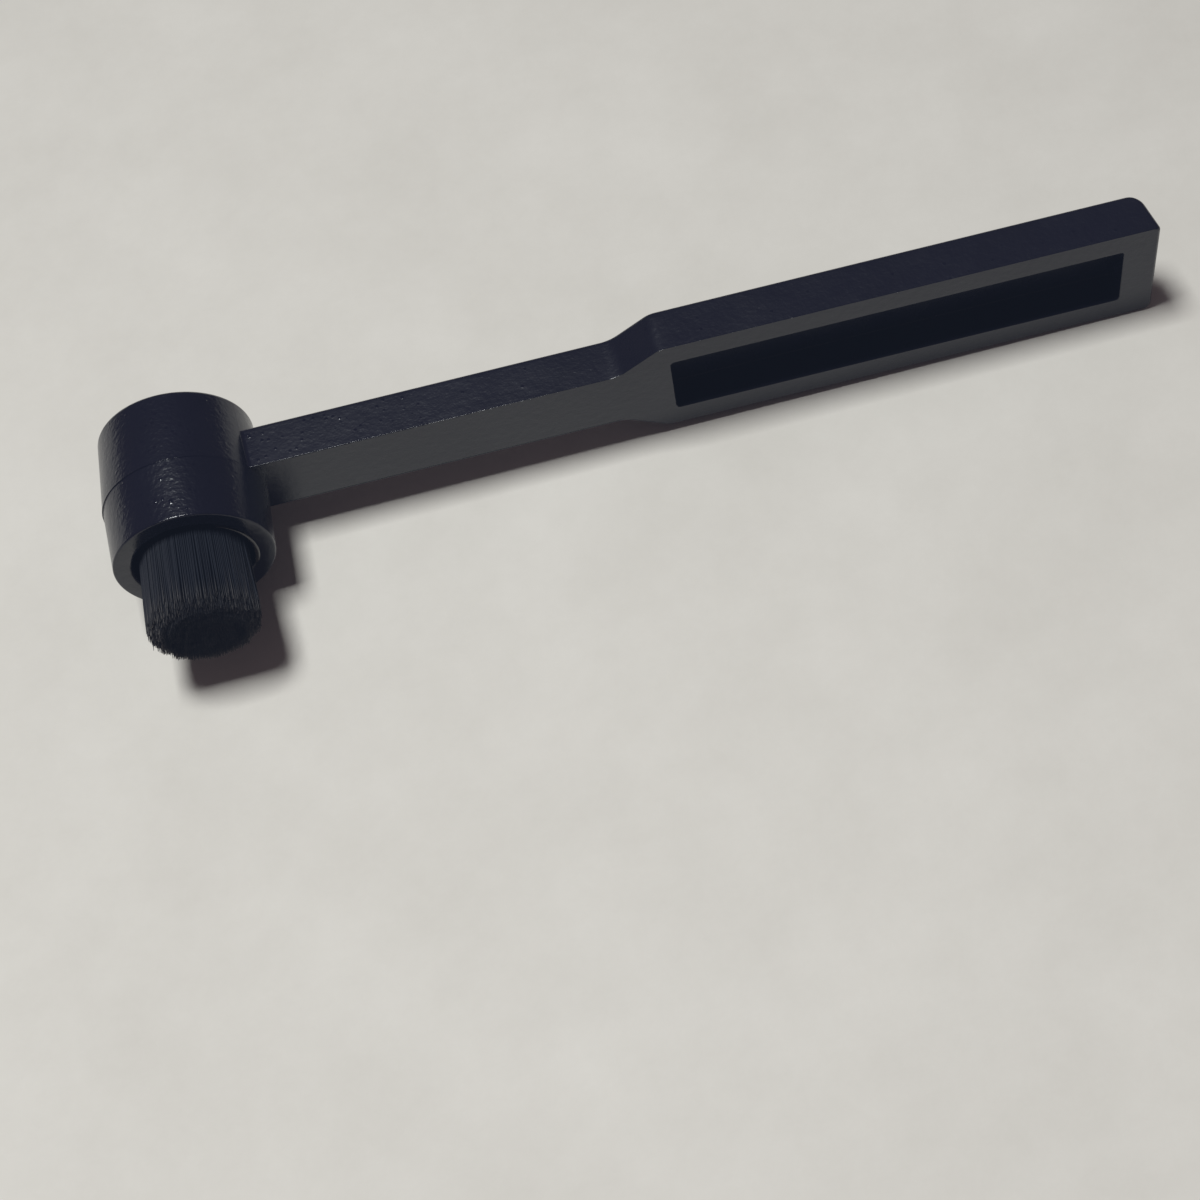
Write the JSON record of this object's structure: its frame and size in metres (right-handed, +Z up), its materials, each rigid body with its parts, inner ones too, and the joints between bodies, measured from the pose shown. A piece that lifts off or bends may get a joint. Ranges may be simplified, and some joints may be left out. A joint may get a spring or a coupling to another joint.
{
  "type": "small side tuft cleaning brush",
  "caption": "Small moulded cleaning brush: a round trimmed tuft set in a cylindrical head, square to a flat handle with a deep open pocket in its wider grip.",
  "frame": {"origin": "bottom centre of the whole brush as it lies on its side: halfway along the length, halfway from the tuft's tips to the head's back face, level with the lowest line of the head", "axes": "+X along the handle from the head to the grip's end, +Y out of the head's back face with the tuft pointing to -Y, +Z up, across the handle's width"},
  "size_m": [0.0752, 0.0166, 0.0115],
  "materials": {
    "black_plastic": "fine spark-eroded satin moulding",
    "filament": "fine dark filaments with brown translucent tips",
    "welded_filament": "melted and resolidified",
    "cured_adhesive": "dark glossy cured adhesive with a meniscus"
  },
  "bodies": {
    "root": {"handle_body": "black_plastic", "bristle_tuft": "filament", "knot_base": "welded_filament", "adhesive_bed": "cured_adhesive"}
  },
  "joints": []
}
